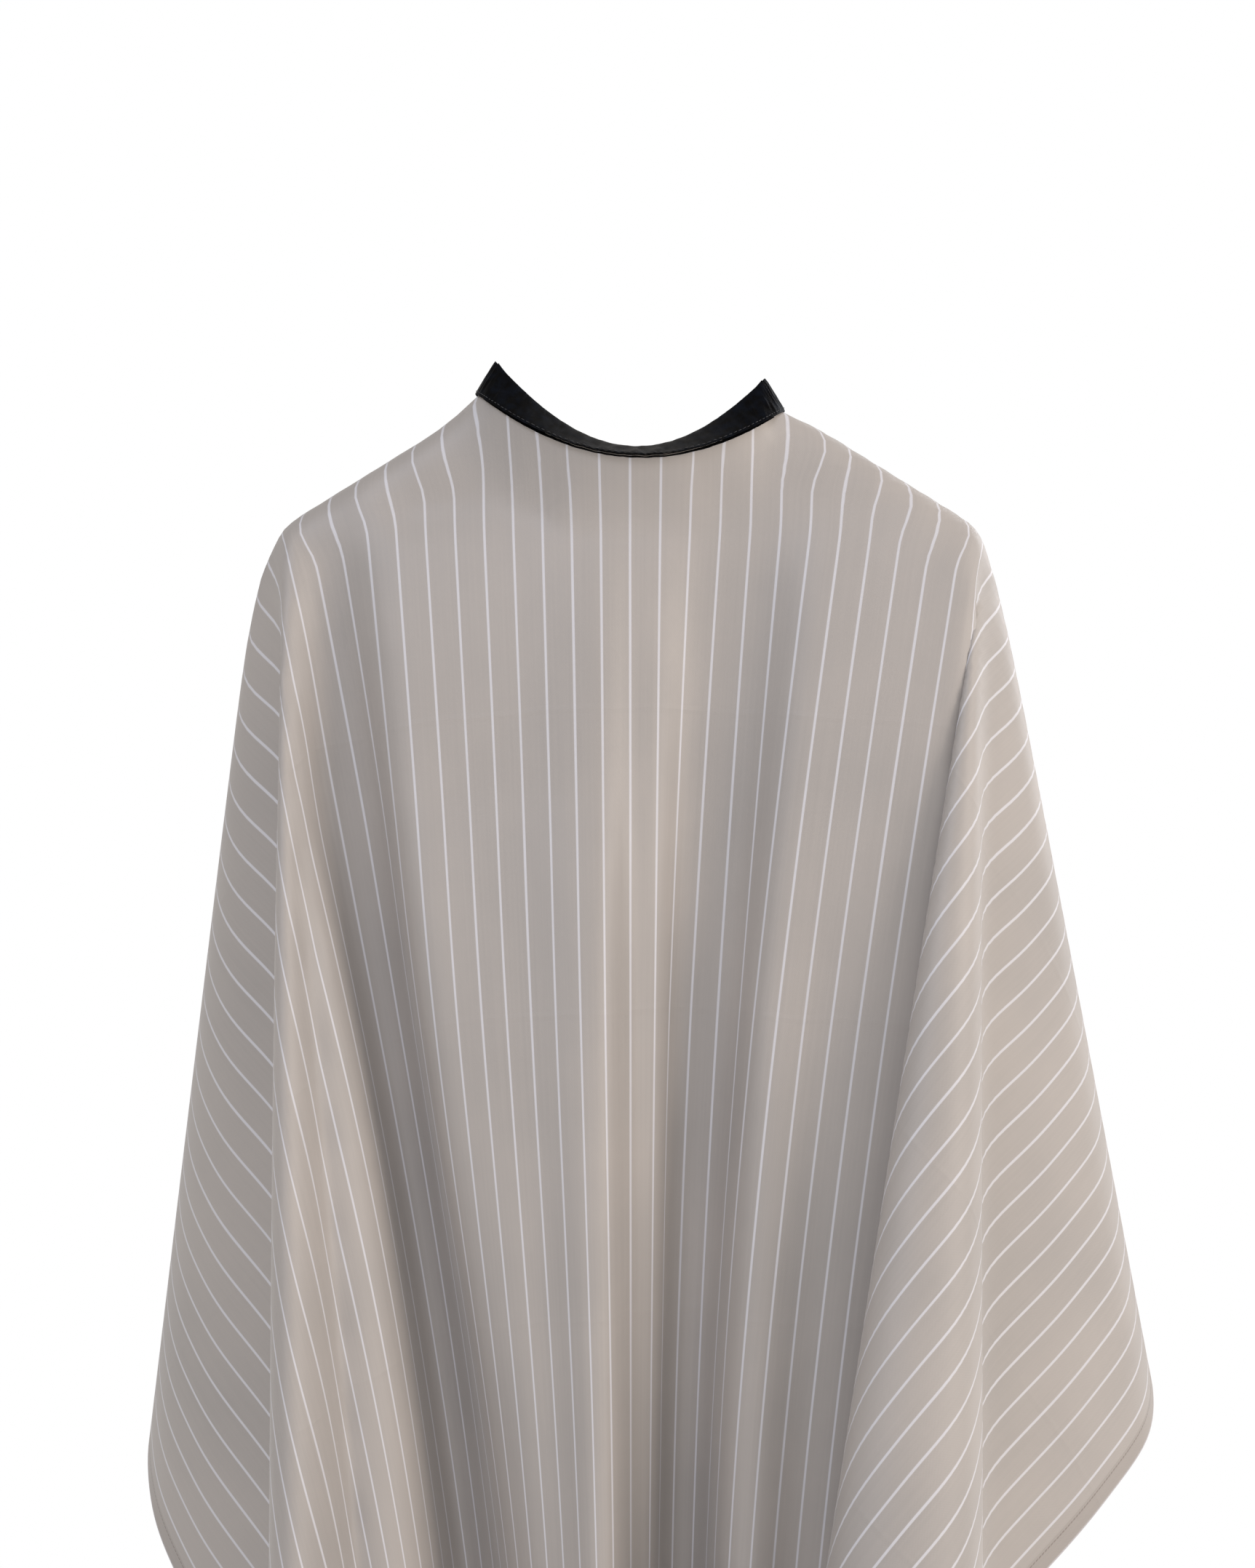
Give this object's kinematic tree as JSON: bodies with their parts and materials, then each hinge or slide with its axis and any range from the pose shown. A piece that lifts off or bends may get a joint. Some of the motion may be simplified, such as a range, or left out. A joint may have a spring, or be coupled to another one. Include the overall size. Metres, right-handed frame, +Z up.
{
  "type": "barber cape",
  "caption": "Hairdressing cape of pinstriped cloth with a neck cut-out, a slit down the back and a black neckband closed by a snap tongue, shaped as it hangs on a hanger.",
  "frame": {"origin": "where the shoulders of the cape rest on the hanger, in the middle between the two corners of the neck", "axes": "+X the viewer's right, -Y the front of the cape, +Z up"},
  "size_m": [0.6537, 0.4061, 1.2626],
  "materials": {
    "cape_cloth": "thin satin-weave polyester with woven pale pinstripes",
    "band_cloth": "black satin-weave cloth, slightly crinkled",
    "band_lining": "matt black plain-weave cloth",
    "band_elastic": "knitted elastic",
    "nickel_snap": "pressed nickel-plated steel",
    "brass_snap": "bare brass"
  },
  "bodies": {
    "cape": {"cape_panel": "cape_cloth", "neckband_outer": "band_cloth", "neckband_lining": "band_lining", "neckband_elastic": "band_elastic", "snap_stud_1": "nickel_snap", "snap_stud_2": "nickel_snap", "snap_stud_3": "nickel_snap", "snap_stud_4": "nickel_snap", "snap_stud_5": "nickel_snap", "snap_stud_6": "nickel_snap", "prong_ring_1": "brass_snap", "prong_ring_2": "brass_snap", "prong_ring_3": "brass_snap", "prong_ring_4": "brass_snap", "prong_ring_5": "brass_snap", "prong_ring_6": "brass_snap"},
    "closure_tongue": {"tongue_outer": "band_cloth", "tongue_lining": "band_lining", "snap_socket_1": "nickel_snap", "snap_socket_2": "nickel_snap", "socket_spring_1": "brass_snap", "socket_spring_2": "brass_snap", "snap_cap_1": "nickel_snap", "snap_cap_2": "nickel_snap"}
  },
  "joints": [
    {"name": "tongue_peel", "type": "hinge", "parent": "cape", "child": "closure_tongue", "pos_m": [0.0015, 0.0528, -0.0476], "axis": [0, 0, -1], "range_deg": [0, 150]}
  ]
}
